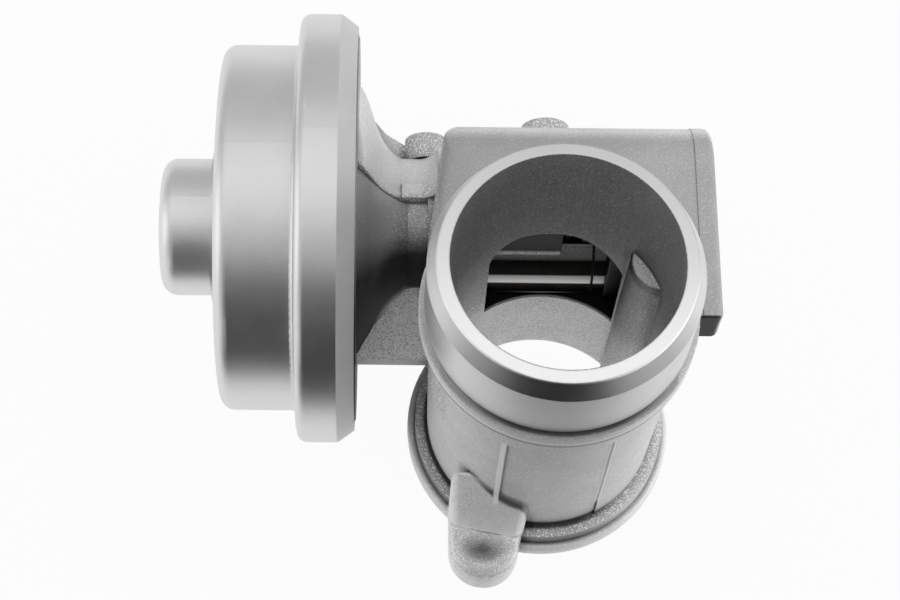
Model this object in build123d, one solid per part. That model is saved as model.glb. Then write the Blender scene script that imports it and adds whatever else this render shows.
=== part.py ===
from build123d import *
from math import acos, cos, degrees, radians, sin
import os

# Vacuum-operated exhaust gas recirculation valve.
# Frame: origin at the centre of the manifold flange's underside, +Z up the air tube to the hose
# spigot, +Y towards the gas box, and the valve stem runs along X with the actuator at -X.

os.makedirs("parts", exist_ok=True)

# ---- fits -----------------------------------------------------------------------------------
SLIDE_FIT = 0.05          # radial, stem in its guide and turned parts in their bores
SEAL_FIT = 0.10           # radial, rubber on a moving rod
SOFT_GAP = 0.30           # round a rubber part or between two formed sheets
CUT_PAST = 1.0            # how far a cutting block runs past the space that it bounds
SAME_SIZE = 0.01          # lengths closer than this belong to the same edge

# ---- air tube -------------------------------------------------------------------------------
BORE_R = 23.0
WALL_TOP_R = 26.3
WALL_FOOT_R = 25.4
TUBE_H = 94.5
SPIGOT_LEN = 23.3
SPIGOT_R = 27.5
SPIGOT_CHAMFER_H = 5.1
LIP_R = 25.6
LIP_FALL = 0.4            # the lip is crowned and drops a little outwards
GROOVE_R = 26.7
GROOVE_W = 1.8
LEDGE_R = 28.6
LEDGE_T = 4.1
LEDGE_FOOT_FILLET = 1.2
FLANGE_R = 29.8
FLANGE_T = 3.7
FLANGE_EDGE_R = 1.1
COLLAR_R = 28.1
COLLAR_TOP = 7.9
LEDGE_TOP = TUBE_H - SPIGOT_LEN

# ---- valve axis and the machined bore that holds the valve ----------------------------------
AXIS_Y = 37.6
AXIS_Z = 28.9
VALVE_BORE_R = 14.35
SHOULDER_X = 13.5
INLET_BORE_R = 11.5
SEAT_T = 2.5
SEAT_BORE_R = 8.5
SEAT_GASKET_T = 0.6
SEAT_GASKET_INSET = 0.5
SLEEVE_LEN = 28.4
SLEEVE_WALL = 1.3
GUIDE_DISC_T = 3.0
SEAT_X = SHOULDER_X - SEAT_T
SLEEVE_RIGHT_X = SEAT_X - SEAT_GASKET_T
SLEEVE_LEFT_X = SLEEVE_RIGHT_X - SLEEVE_LEN
GUIDE_LEFT_X = SLEEVE_LEFT_X - GUIDE_DISC_T
TURNED_R = VALVE_BORE_R - SLIDE_FIT

# ---- window in the sleeve's top -------------------------------------------------------------
WINDOW_LEN = 6.9
WINDOW_FRONT_DEG = 37.0   # from straight up towards the tube
WINDOW_BACK_DEG = 50.0    # from straight up away from the tube

# ---- gas box --------------------------------------------------------------------------------
BOX_TOP_Z = 62.0
BOX_FRONT_Y = 2.2
BOX_BACK_Y = 51.2
BOX_BACK_R = 12.0
BOX_RIGHT_X = 31.2
BOX_LEFT_BACK_X = -22.4
BOX_LEFT_FRONT_X = -26.3
BOX_LEFT_FRONT_Y = 20.0
BOX_CORNER_R = 9.0
BOX_INSIDE_Y = 20.0       # where the box stops under its overhang
OVERHANG_T = 9.8
BOX_EDGE_R = 3.0          # along the top of the left wall

# ---- valve body and inlet flange ------------------------------------------------------------
BODY_R = 20.0
BODY_NECK_R = 16.0
BODY_LEFT_X = -26.1
BODY_STEP_X = -18.0
BODY_BLEND_DEG = 15.0     # where the body meets the tube wall, from straight left
INLET_FACE_X = 35.0
INLET_FLANGE_T = 4.3
INLET_FLANGE_R = 23.2
INLET_RIM_PROUD = 0.12
INLET_EDGE_R = 1.8
INLET_PCD_R = 16.7
INLET_HOLES = 3
INLET_HOLE_DEPTH = 14.0

# ---- port from the tube into the gas box ----------------------------------------------------
PORT_LEFT_X = -13.0
PORT_RIGHT_X = 17.5
PORT_BOTTOM_Z = 25.1
PORT_TOP_Z = 58.0
PORT_LEFT_R = 8.0
PORT_RIGHT_R = 15.0
PORT_FLOOR_Y = 27.0       # cast face above the sleeve
PORT_SIDE_FLOOR_Y = 22.3  # shallow part beside the gas inlet
CHAMBER_LEFT_X = 3.3
CHAMBER_BACK_Y = 45.8

# ---- web, ledge and gusset plate that carry the actuator -----------------------------------
WEB_LEFT_X = -41.6
WEB_LEFT_R = 32.8
WEB_FLARE_X = -37.6
WEB_FLARE_R = 23.4
WEB_NECK_X = -33.4
WEB_NECK_R = 16.9
WEB_T = 1.9
WEB_PAD_LEFT_X = -31.9
WEB_PAD_DEPTH = 3.5
WEB_PAD_PROUD = 0.25
WEB_FILLET_FOOT_X = -28.0 # where the fillet up to the box's left wall starts
GUSSET_T = 3.3
GUSSET_FRONT_Y = 5.7
GUSSET_BACK_Y = 69.9
GUSSET_BACK_MID_X = -35.5
GUSSET_BACK_MID_Y = 62.0
GUSSET_BACK_END_X = -31.0
GUSSET_BACK_END_Y = 59.0
SLOT_MOUTH_R = WEB_LEFT_R - WEB_T
SLOT_BEND_X = -33.2
SLOT_BEND_R = 17.6
SLOT_NECK_X = -30.4
SLOT_NECK_R = 14.5
SLOT_FLARE_X = -28.0
SLOT_END_R = 15.7
SLOT_TURN_R = 3.0

# ---- bosses with threaded holes (M6) --------------------------------------------------------
THREAD_R = 2.5
REAR_BOSS_END_Y = 57.9
LEFT_BOSS_X = -26.3
LEFT_BOSS_Z = 33.0
LEFT_BOSS_R = 4.8
LEFT_HOLE_DEPTH = 5.0
TOP_BOSS_X = 0.4
TOP_BOSS_Z = 40.0
TOP_BOSS_R = 5.4
TOP_HOLE_DEPTH = 7.5
BOLT_HOLE_DEPTH = 15.0
INNER_BOSS_X = 22.8
INNER_BOSS_Y = 14.3
INNER_BOSS_R = 7.8
INNER_BOSS_TOP_R = 6.9
INNER_BOSS_TOP = 63.6
LUG_X = -12.6
LUG_Y = -29.8
LUG_R = 7.8
LUG_TOP = 9.5
LUG_RAMP_START = 2.2      # from the dimple's middle towards the tube
LUG_RAMP_RISE = 3.0       # height gained per mm towards the tube
LUG_RAMP_LEAN = 0.55      # height gained per mm towards +X
LUG_RIB_TOP = 27.5
LUG_RIB_RIGHT_X = -1.8
LUG_RIB_BACK_Y = -20.0
LUG_EDGE_R = 2.4
DIMPLE_R = 4.5
DIMPLE_DEPTH = 1.0
LUG_HOLE_DEPTH = 6.0

# ---- bare recessed panel on the tube's front -----------------------------------------------
PANEL_LEFT_X = -10.0
PANEL_RIGHT_X = 12.0
PANEL_BOTTOM_Z = COLLAR_TOP
PANEL_TOP_Z = 56.0
PANEL_DEPTH = 0.35

# ---- stem, poppet, guide and seal -----------------------------------------------------------
LIFT = 7.0                # full travel of the valve
STEM_R = 3.0
POPPET_R = 10.5
POPPET_T = 2.6
POPPET_HUB_R = 5.2
POPPET_HUB_LEN = 4.0
GUIDE_HUB_R = 6.0
GUIDE_HUB_LEN = 10.0
SEAL_R = 6.5
SEAL_LEN = 3.8
SEAL_CUP_WALL = 0.7
SEAL_CUP_FLOOR_T = 0.7

# ---- actuator base (flared neck and crimped flange) -----------------------------------------
NECK_GAP = 0.5            # between the web and the neck inside it
NECK_WALL = 2.0
BASE_FACE_GAP = 0.6       # inside the cover's rolled edge
BASE_T = 4.9
BASE_LIP_W = 4.0
VENT_R = 1.8
VENT_PCD_R = 36.0
VENTS = 3
SHIELD_LAP = 3.0
SHIELD_T = 0.8
SHIELD_HOLE_R = 4.5

# ---- actuator cover (cap, drum and rolled rim) ----------------------------------------------
COVER_T = 1.5
DRUM_R = 41.3
DRUM_LEFT_X = -71.9
RIM_STEP = 7.1            # rim outside the drum
RIM_LEFT_X = -54.7
RIM_SHOULDER_R = 2.3
RIM_ROOT_R = 1.0
RIM_CHAMFER_X = -45.6
CRIMP_FACE_X = -41.9
CRIMP_DROP = 2.7          # from the rim down to the rolled edge's corner
CRIMP_LIP = 1.7           # from that corner down to the mouth
DRUM_EDGE_R = 3.0
CAP_FOOT_R = 17.3
CAP_FOOT_X = -74.2
CAP_R = 15.5
CAP_LEFT_X = -85.7
CAP_EDGE_R = 3.5

# ---- diaphragm stack ------------------------------------------------------------------------
BEAD_T = 2.4
RUBBER_T = 1.2
BEAD_W = 3.6
ROLL_CLEAR = 1.2          # between the drum's inside and the fold
ROLL_W = 7.0
ROLL_HEIGHT = 5.5
PISTON_CLEAR = 1.6        # between the fold and the piston plate
PISTON_RIM_H = 7.4
PLATE_T = 1.2
BACKING_R = 26.0
BACKING_T = 1.0
STEM_COLLAR_R = 5.0
STEM_COLLAR_T = 2.6
NUT_AF = 10.0
NUT_T = 4.0
STUD_PROUD = 1.2

# ---- return spring and stop -----------------------------------------------------------------
SPRING_R = 10.4
WIRE_R = 1.1
SPRING_COILS = 5.5
SPRING_CLEAR = 0.05
SPRING_SEAT_R = 13.2
SPRING_SEAT_T = 1.0
SPRING_SEAT_HOLE_R = 7.0
STOP_W = 3.5
STOP_CLEAR = 0.2

# ---- vacuum nipple, turned down behind the drum ---------------------------------------------
NIPPLE_X = -63.5
NIPPLE_DOWN_DEG = 65.0    # below the horizontal, towards +Y
NIPPLE_R = 2.4
NIPPLE_CHAMFER = 0.6
NIPPLE_BORE_R = 1.2
NIPPLE_LEN = 11.2         # from the drum to its tip
NIPPLE_FOOT_R = 4.5
NIPPLE_FOOT_T = 1.2

# ---- places that follow from the sizes above ------------------------------------------------
VALVE_AXIS = Axis((0, AXIS_Y, AXIS_Z), (1, 0, 0))
BASE_LEFT_X = WEB_LEFT_X - BASE_T
RIM_R = DRUM_R + RIM_STEP
RIM_INNER_R = RIM_R - COVER_T
CRIMP_EDGE_R = RIM_R - CRIMP_DROP
CRIMP_MOUTH_R = CRIMP_EDGE_R - CRIMP_LIP
BEAD_OUTER_R = RIM_INNER_R - SOFT_GAP
BEAD_INNER_R = BEAD_OUTER_R - BEAD_W
ROLL_OUTER_R = DRUM_R - COVER_T - ROLL_CLEAR
ROLL_INNER_R = ROLL_OUTER_R - ROLL_W
PISTON_PLATE_R = ROLL_INNER_R - PISTON_CLEAR
NIPPLE_REACH_R = DRUM_R + NIPPLE_LEN
RIM_FLOOR_X = RIM_LEFT_X + COVER_T
BEAD_RIGHT_X = RIM_FLOOR_X + BEAD_T
RUBBER_LEFT_X = RIM_FLOOR_X + (BEAD_T - RUBBER_T) / 2
RUBBER_RIGHT_X = RUBBER_LEFT_X + RUBBER_T
PISTON_RIGHT_X = RUBBER_LEFT_X
PISTON_LEFT_X = PISTON_RIGHT_X - PLATE_T
BACKING_RIGHT_X = RUBBER_RIGHT_X + BACKING_T
DRUM_FLOOR_X = DRUM_LEFT_X + COVER_T
CAP_FLOOR_X = CAP_LEFT_X + COVER_T
SPRING_LEFT_X = CAP_FLOOR_X + SPRING_SEAT_T
STOP_RIGHT_X = PISTON_RIGHT_X - PISTON_RIM_H - LIFT - STOP_CLEAR


def ring(x_left, x_right, r_outer, r_inner=0.0):
    """A turned ring on the valve axis between two X planes."""
    body = rightward(x_left, x_right, AXIS_Y, AXIS_Z, r_outer)
    if r_inner > 0:
        body = body - rightward(x_left, x_right, AXIS_Y, AXIS_Z, r_inner)
    return body


def turned(outline, degrees=360.0):
    """Turn a closed (X, radius) outline round the valve axis."""
    points = [(x, AXIS_Y, AXIS_Z + r) for x, r in outline]
    face = make_face(Polyline(*points, close=True))
    return revolve(face, VALVE_AXIS, degrees)


def upright(x, y, z_low, z_high, radius):
    """A cylinder parallel to Z."""
    align = (Align.CENTER, Align.CENTER, Align.MIN)
    return Pos(x, y, z_low) * Cylinder(radius, z_high - z_low, align=align)


def backward(x, z, y_low, y_high, radius):
    """A cylinder parallel to Y."""
    align = (Align.CENTER, Align.CENTER, Align.MIN)
    place = Location((x, y_low, z), (-90, 0, 0))
    return place * Cylinder(radius, y_high - y_low, align=align)


def rightward(x_low, x_high, y, z, radius):
    """A cylinder parallel to X."""
    align = (Align.CENTER, Align.CENTER, Align.MIN)
    place = Location((x_low, y, z), (0, 90, 0))
    return place * Cylinder(radius, x_high - x_low, align=align)


def on_circle(radius, count, start_deg):
    """(Y, Z) places evenly spaced on a circle round the valve axis."""
    angles = [radians(start_deg + 360 / count * index) for index in range(count)]
    return [(AXIS_Y + radius * cos(a), AXIS_Z + radius * sin(a)) for a in angles]


def block(x_low, x_high, y_low, y_high, z_low, z_high):
    """A box given by its limits."""
    size = (x_high - x_low, y_high - y_low, z_high - z_low)
    return Pos(x_low, y_low, z_low) * Box(*size, align=(Align.MIN, Align.MIN, Align.MIN))


def plan(points, z_low, z_high):
    """A closed (X, Y) outline raised between two heights."""
    face = make_face(Polyline(*[(x, y, z_low) for x, y in points], close=True))
    return extrude(face, z_high - z_low, (0, 0, 1))


def write(shape, node):
    """Write one node's STEP file."""
    export_step(shape, f"parts/{node}.step")


# =============================================================================================
# valve housing: one die casting
# =============================================================================================
def tube_outside():
    """Flange, collar, tapered wall, ledge and hose spigot, turned about Z."""
    ledge_foot = LEDGE_TOP - LEDGE_T
    outline = [
        (0, 0),
        (FLANGE_R, 0),
        (FLANGE_R, FLANGE_T),
        (COLLAR_R, FLANGE_T),
        (COLLAR_R, COLLAR_TOP),
        (WALL_FOOT_R, COLLAR_TOP),
        (WALL_TOP_R, ledge_foot - LEDGE_FOOT_FILLET),
        (LEDGE_R, ledge_foot),
        (LEDGE_R, LEDGE_TOP),
        (GROOVE_R, LEDGE_TOP),
        (GROOVE_R, LEDGE_TOP + GROOVE_W),
        (SPIGOT_R, LEDGE_TOP + GROOVE_W),
        (SPIGOT_R, TUBE_H - SPIGOT_CHAMFER_H),
        (LIP_R, TUBE_H - LIP_FALL),
        (BORE_R, TUBE_H),
        (0, TUBE_H),
    ]
    face = make_face(Polyline(*[(r, 0, z) for r, z in outline], close=True))
    tube = revolve(face, Axis.Z)
    edges = [e for e in tube.edges().filter_by(GeomType.CIRCLE) if abs(e.radius - FLANGE_R) < SAME_SIZE]
    return fillet(edges, FLANGE_EDGE_R)


def box_side(x_low, x_high):
    """Side view of the box, with its rounded back, carried between two X planes."""
    side = [
        (x_low, BOX_FRONT_Y, BOX_TOP_Z - OVERHANG_T),
        (x_low, BOX_FRONT_Y, BOX_TOP_Z),
        (x_low, BOX_BACK_Y, BOX_TOP_Z),
        (x_low, BOX_BACK_Y, AXIS_Z),
        (x_low, BOX_INSIDE_Y, AXIS_Z),
        (x_low, BOX_INSIDE_Y, BOX_TOP_Z - OVERHANG_T),
    ]
    box = extrude(make_face(Polyline(*side, close=True)), x_high - x_low, (1, 0, 0))
    back_edge = box.edges().filter_by(Axis.X).sort_by(lambda e: e.center().Z + e.center().Y)[-1]
    return fillet(back_edge, BOX_BACK_R)


def gas_box():
    """Box over the valve: rounded back, slanted left wall and an overhang beside the tube."""
    outline = [
        (BOX_RIGHT_X, BOX_FRONT_Y),
        (BOX_RIGHT_X, BOX_BACK_Y),
        (BOX_LEFT_BACK_X, BOX_BACK_Y),
        (BOX_LEFT_FRONT_X, BOX_LEFT_FRONT_Y),
        (-WALL_FOOT_R * cos(radians(BODY_BLEND_DEG)), WALL_FOOT_R * sin(radians(BODY_BLEND_DEG))),
        (0, BOX_FRONT_Y),
    ]
    limits = plan(outline, AXIS_Z, BOX_TOP_Z)
    corner = limits.edges().filter_by(Axis.Z).sort_by(lambda e: e.center().Y - e.center().X)[-1]
    return box_side(BOX_LEFT_FRONT_X, BOX_RIGHT_X) & fillet(corner, BOX_CORNER_R) & box_front()


def box_front():
    """Front view of the box, its top left edge rounded, carried along the slanted left wall."""
    wall = Vector(BOX_LEFT_BACK_X - BOX_LEFT_FRONT_X, BOX_BACK_Y - BOX_LEFT_FRONT_Y, 0)
    start = Vector(BOX_LEFT_FRONT_X, BOX_LEFT_FRONT_Y, 0) - wall
    right_x = BOX_RIGHT_X + wall.X
    outline = [
        (start.X, start.Y, AXIS_Z),
        (start.X, start.Y, BOX_TOP_Z),
        (right_x, start.Y, BOX_TOP_Z),
        (right_x, start.Y, AXIS_Z),
    ]
    front = extrude(make_face(Polyline(*outline, close=True)), 2 * wall.length, wall.normalized())
    edges = front.edges().filter_by_position(Axis.Z, BOX_TOP_Z - SLIDE_FIT, BOX_TOP_Z + SLIDE_FIT)
    return fillet(edges.filter_by(Axis((0, 0, 0), wall)).sort_by(Axis.X)[0], BOX_EDGE_R)


def valve_body():
    """Round body on the valve axis, under the box, with a slimmer left end."""
    return ring(BODY_STEP_X, BOX_RIGHT_X, BODY_R) + ring(BODY_LEFT_X, BODY_STEP_X, BODY_NECK_R)


def inlet_flange():
    """Plate round the gas inlet: a disc joined by a tangent to the overhang's lower corner."""
    x = INLET_FACE_X - INLET_FLANGE_T
    top = BOX_TOP_Z + INLET_RIM_PROUD
    back = BOX_BACK_Y + INLET_RIM_PROUD
    corner = Vector(0, BOX_FRONT_Y - AXIS_Y, BOX_TOP_Z - OVERHANG_T - AXIS_Z)
    swing = degrees(acos(INLET_FLANGE_R / corner.length))
    touch = corner.rotate(Axis.X, swing).normalized() * INLET_FLANGE_R
    outline = [
        (x, AXIS_Y, AXIS_Z),
        (x, AXIS_Y + touch.Y, AXIS_Z + touch.Z),
        (x, BOX_FRONT_Y, BOX_TOP_Z - OVERHANG_T),
        (x, BOX_FRONT_Y, top),
        (x, back, top),
        (x, back, AXIS_Z),
    ]
    plate = extrude(make_face(Polyline(*outline, close=True)), INLET_FLANGE_T, (1, 0, 0))
    back_edge = plate.edges().filter_by(Axis.X).sort_by(lambda e: e.center().Z + e.center().Y)[-1]
    plate = fillet(back_edge, BOX_BACK_R) + ring(x, INLET_FACE_X, INLET_FLANGE_R)
    return fillet(plate.faces().sort_by(Axis.X)[-1].outer_wire().edges(), INLET_EDGE_R)


def trumpet(inset):
    """Curve of the flared casting in the XZ plane, set in towards the axis."""
    points = [
        (WEB_LEFT_X, WEB_LEFT_R),
        (WEB_FLARE_X, WEB_FLARE_R),
        (WEB_NECK_X, WEB_NECK_R),
        (WEB_PAD_LEFT_X, BODY_NECK_R),
    ]
    return Spline(*[(x, AXIS_Y, AXIS_Z + r - inset) for x, r in points])


def under_trumpet(inset, right_x):
    """Face of everything inside the trumpet curve, carried on straight to the right."""
    curve = trumpet(inset)
    rest = Polyline(
        curve @ 1,
        (right_x, AXIS_Y, AXIS_Z + BODY_NECK_R - inset),
        (right_x, AXIS_Y, AXIS_Z),
        (WEB_LEFT_X, AXIS_Y, AXIS_Z),
        curve @ 0,
    )
    return make_face(Wire([curve.edge(), *rest.edges()]))


def web():
    """Quarter trumpet from straight above the neck round to the back, cut open along its top."""
    right_x = BODY_LEFT_X + WEB_T
    profile = under_trumpet(0, right_x) - under_trumpet(WEB_T, right_x)
    shell = revolve(profile, VALVE_AXIS.reverse(), 90)
    pad = block(
        WEB_PAD_LEFT_X, right_x, AXIS_Y, AXIS_Y + WEB_PAD_DEPTH,
        AXIS_Z + BODY_NECK_R - WEB_T, AXIS_Z + BODY_NECK_R + WEB_PAD_PROUD,
    )
    return shell + pad + web_box_fillet()


def web_box_fillet():
    """Cast fillet from the web's straight part up to the body under the box's left wall."""
    low = AXIS_Z + BODY_NECK_R
    high = AXIS_Z + BODY_R
    size = high - low
    corner_x = WEB_FILLET_FOOT_X + size
    middle = (WEB_FILLET_FOOT_X + size * sin(radians(45)), AXIS_Y, high - size * cos(radians(45)))
    arc = ThreePointArc((WEB_FILLET_FOOT_X, AXIS_Y, low), middle, (corner_x, AXIS_Y, high))
    rest = Polyline(
        (corner_x, AXIS_Y, high),
        (BODY_STEP_X, AXIS_Y, high),
        (BODY_STEP_X, AXIS_Y, low - WEB_T),
        (WEB_FILLET_FOOT_X, AXIS_Y, low - WEB_T),
        (WEB_FILLET_FOOT_X, AXIS_Y, low),
    )
    profile = make_face(Wire([arc.edge(), *rest.edges()]))
    return revolve(profile, VALVE_AXIS.reverse(), 90) & box_side(WEB_LEFT_X, BOX_RIGHT_X)


def gusset_plate():
    """Flat plate at the height of the valve axis, slotted round the actuator's neck."""
    outline = [
        (WEB_LEFT_X, GUSSET_FRONT_Y),
        (BODY_LEFT_X + WEB_T, GUSSET_FRONT_Y),
        (BODY_LEFT_X + WEB_T, GUSSET_BACK_END_Y),
        (GUSSET_BACK_END_X, GUSSET_BACK_END_Y),
        (GUSSET_BACK_MID_X, GUSSET_BACK_MID_Y),
        (WEB_LEFT_X, GUSSET_BACK_Y),
    ]
    plate = plan(outline, AXIS_Z - GUSSET_T, AXIS_Z)
    slot_front = [
        (WEB_LEFT_X, AXIS_Y - SLOT_MOUTH_R),
        (WEB_FLARE_X, AXIS_Y - WEB_FLARE_R),
        (SLOT_BEND_X, AXIS_Y - SLOT_BEND_R),
        (SLOT_NECK_X, AXIS_Y - SLOT_NECK_R),
        (SLOT_FLARE_X, AXIS_Y - SLOT_NECK_R),
        (BODY_LEFT_X, AXIS_Y - SLOT_END_R),
    ]
    slot_back = [(x, 2 * AXIS_Y - y) for x, y in reversed(slot_front)]
    slot = plan(slot_front + slot_back, AXIS_Z - GUSSET_T, AXIS_Z)
    turns = [e for e in slot.edges().filter_by(Axis.Z) if abs(e.center().X - SLOT_NECK_X) < SAME_SIZE]
    return plate - fillet(turns, SLOT_TURN_R)


def lug():
    """Screw lug at the foot of the tube: round boss with a dimple and a ramp rib up the wall."""
    left = LUG_X - LUG_R
    foot = upright(LUG_X, LUG_Y, 0, LUG_RIB_TOP, LUG_R)
    outline = [
        (left, LUG_Y),
        (LUG_X + LUG_R, LUG_Y),
        (LUG_RIB_RIGHT_X, LUG_RIB_BACK_Y),
        (left, LUG_RIB_BACK_Y),
    ]
    mass = foot + plan(outline, 0, LUG_RIB_TOP)
    low = mass & block(left, LUG_RIB_RIGHT_X, LUG_Y - LUG_R, LUG_RIB_BACK_Y, 0, LUG_TOP)
    ramp = Plane((LUG_X, LUG_Y + LUG_RAMP_START, LUG_TOP), z_dir=(-LUG_RAMP_LEAN, -LUG_RAMP_RISE, 1))
    mass = low + split(mass, bisect_by=ramp, keep=Keep.BOTTOM)
    level = Axis((0, 0, 0), (LUG_RAMP_RISE, -LUG_RAMP_LEAN, 0))
    rims = mass.edges().filter_by_position(Axis.Z, LUG_TOP - SLIDE_FIT, LUG_RIB_TOP)
    rims = rims.filter_by_position(Axis.Y, LUG_Y - 2 * LUG_R, LUG_RIB_BACK_Y - SOFT_GAP)
    mass = fillet(rims.filter_by(level, reverse=True), LUG_EDGE_R)
    sphere_r = (DIMPLE_R ** 2 + DIMPLE_DEPTH ** 2) / (2 * DIMPLE_DEPTH)
    dimple = Pos(LUG_X, LUG_Y, LUG_TOP + sphere_r - DIMPLE_DEPTH) * Sphere(sphere_r)
    return mass - (dimple & upright(LUG_X, LUG_Y, 0, LUG_TOP, LUG_R))


def port_cut():
    """Window in the tube's back wall, its cast pocket and the chamber above the sleeve."""
    outline = [
        (PORT_LEFT_X, 0, PORT_BOTTOM_Z),
        (PORT_RIGHT_X, 0, PORT_BOTTOM_Z),
        (PORT_RIGHT_X, 0, PORT_TOP_Z),
        (PORT_LEFT_X, 0, PORT_TOP_Z),
    ]
    depth = CHAMBER_BACK_Y
    prism = extrude(make_face(Polyline(*outline, close=True)), depth, (0, 1, 0))
    tops = prism.edges().filter_by(Axis.Y).sort_by(lambda e: e.center().Z)[-2:]
    left, right = tops.sort_by(Axis.X)
    prism = fillet(left, PORT_LEFT_R)
    tops = prism.edges().filter_by(Axis.Y).sort_by(lambda e: e.center().X + e.center().Z)
    prism = fillet(tops[-1], PORT_RIGHT_R)
    low, high = PORT_BOTTOM_Z - CUT_PAST, PORT_TOP_Z + CUT_PAST
    pocket = prism & block(PORT_LEFT_X - CUT_PAST, CHAMBER_LEFT_X, 0, PORT_FLOOR_Y, low, high)
    chamber = prism & block(CHAMBER_LEFT_X, SHOULDER_X, 0, depth, low, high)
    side = prism & block(SHOULDER_X, PORT_RIGHT_X + CUT_PAST, 0, PORT_SIDE_FLOOR_Y, low, high)
    return pocket + chamber + side


def rear_bosses():
    """The two bosses that stand out behind the box and the web."""
    left_start = AXIS_Y + BODY_NECK_R - WEB_T
    left = backward(LEFT_BOSS_X, LEFT_BOSS_Z, left_start, REAR_BOSS_END_Y, LEFT_BOSS_R)
    top = backward(TOP_BOSS_X, TOP_BOSS_Z, CHAMBER_BACK_Y, REAR_BOSS_END_Y, TOP_BOSS_R)
    return left + top


def inner_boss():
    """Bolt boss that runs up the tube's wall and shows inside the bore."""
    inside = upright(0, 0, 0, INNER_BOSS_TOP, (BORE_R + WALL_FOOT_R) / 2)
    align = (Align.CENTER, Align.CENTER, Align.MIN)
    cone = Cone(INNER_BOSS_R, INNER_BOSS_TOP_R, INNER_BOSS_TOP, align=align)
    tall = Pos(INNER_BOSS_X, INNER_BOSS_Y, 0) * cone & inside
    column = upright(INNER_BOSS_X, INNER_BOSS_Y, 0, BOX_TOP_Z - OVERHANG_T / 2, INNER_BOSS_R)
    return tall + (column - upright(0, 0, 0, BOX_TOP_Z, BORE_R))


def housing_holes():
    """Threaded holes in the bosses, the lug and the inlet flange."""
    left_start = REAR_BOSS_END_Y - LEFT_HOLE_DEPTH
    top_start = REAR_BOSS_END_Y - TOP_HOLE_DEPTH
    holes = backward(LEFT_BOSS_X, LEFT_BOSS_Z, left_start, REAR_BOSS_END_Y, THREAD_R)
    holes += backward(TOP_BOSS_X, TOP_BOSS_Z, top_start, REAR_BOSS_END_Y, THREAD_R)
    holes += upright(INNER_BOSS_X, INNER_BOSS_Y, 0, BOLT_HOLE_DEPTH, THREAD_R)
    holes += upright(LUG_X, LUG_Y, 0, LUG_HOLE_DEPTH, THREAD_R)
    for y, z in on_circle(INLET_PCD_R, INLET_HOLES, 90):
        holes += rightward(INLET_FACE_X - INLET_HOLE_DEPTH, INLET_FACE_X, y, z, THREAD_R)
    return holes


def panel_cut():
    """Shallow panel that follows the wall's curve."""
    skin = WALL_FOOT_R - PANEL_DEPTH
    reach = LEDGE_R
    prism = block(PANEL_LEFT_X, PANEL_RIGHT_X, -reach, 0, PANEL_BOTTOM_Z, PANEL_TOP_Z)
    slope = (WALL_TOP_R - WALL_FOOT_R) / (LEDGE_TOP - LEDGE_T - LEDGE_FOOT_FILLET - COLLAR_TOP)
    low = skin + slope * (PANEL_BOTTOM_Z - COLLAR_TOP)
    high = skin + slope * (PANEL_TOP_Z - COLLAR_TOP)
    align = (Align.CENTER, Align.CENTER, Align.MIN)
    core = Pos(0, 0, PANEL_BOTTOM_Z) * Cone(low, high, PANEL_TOP_Z - PANEL_BOTTOM_Z, align=align)
    return prism - core


def valve_housing():
    """Tube, box, body, web, plate, bosses and lug, then every hole."""
    shape = tube_outside() - panel_cut() + gas_box() + valve_body() + inlet_flange()
    shape = shape + web() + gusset_plate() + rear_bosses() + lug()
    shape = shape - upright(0, 0, 0, TUBE_H, BORE_R) - port_cut() + inner_boss()
    shape = shape - ring(BODY_LEFT_X, SHOULDER_X, VALVE_BORE_R)
    shape = shape - ring(SHOULDER_X, INLET_FACE_X, INLET_BORE_R)
    return shape - housing_holes()


write(valve_housing(), "valve_housing")


# =============================================================================================
# fixed parts in the valve bore, stacked against the shoulder
# =============================================================================================
def gas_sleeve():
    """Steel sleeve with a window in its top that lets gas out into the chamber."""
    sleeve = ring(SLEEVE_LEFT_X, SLEEVE_RIGHT_X, TURNED_R, TURNED_R - SLEEVE_WALL)
    reach = 2 * TURNED_R
    x = SLEEVE_RIGHT_X - WINDOW_LEN
    front = radians(90 + WINDOW_FRONT_DEG)
    back = radians(90 - WINDOW_BACK_DEG)
    wedge = [
        (x, AXIS_Y, AXIS_Z),
        (x, AXIS_Y + reach * cos(front), AXIS_Z + reach * sin(front)),
        (x, AXIS_Y, AXIS_Z + reach * 2),
        (x, AXIS_Y + reach * cos(back), AXIS_Z + reach * sin(back)),
    ]
    return sleeve - extrude(make_face(Polyline(*wedge, close=True)), WINDOW_LEN, (1, 0, 0))


def stem_guide():
    """Flanged bronze bush that carries the stem."""
    guide = ring(GUIDE_LEFT_X, SLEEVE_LEFT_X, TURNED_R)
    guide += ring(SLEEVE_LEFT_X, SLEEVE_LEFT_X + GUIDE_HUB_LEN, GUIDE_HUB_R)
    return guide - ring(GUIDE_LEFT_X, SLEEVE_LEFT_X + GUIDE_HUB_LEN, STEM_R + SLIDE_FIT)


def seal_cup():
    """Pressed cup that holds the stem seal against the guide."""
    x = GUIDE_LEFT_X - SEAL_LEN - SEAL_CUP_FLOOR_T
    cup = ring(x, GUIDE_LEFT_X, SEAL_R + SLIDE_FIT + SEAL_CUP_WALL)
    cup -= ring(x + SEAL_CUP_FLOOR_T, GUIDE_LEFT_X, SEAL_R + SLIDE_FIT)
    return cup - ring(x, x + SEAL_CUP_FLOOR_T, STEM_R + SOFT_GAP)


write(gas_sleeve(), "gas_sleeve")
write(ring(SLEEVE_RIGHT_X, SEAT_X, TURNED_R - SEAT_GASKET_INSET, TURNED_R - SLEEVE_WALL), "seat_gasket")
write(ring(SEAT_X, SHOULDER_X, TURNED_R, SEAT_BORE_R), "valve_seat")
write(stem_guide(), "stem_guide")
write(ring(GUIDE_LEFT_X - SEAL_LEN, GUIDE_LEFT_X, SEAL_R, STEM_R + SEAL_FIT), "stem_seal")
write(seal_cup(), "seal_cup")


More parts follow.
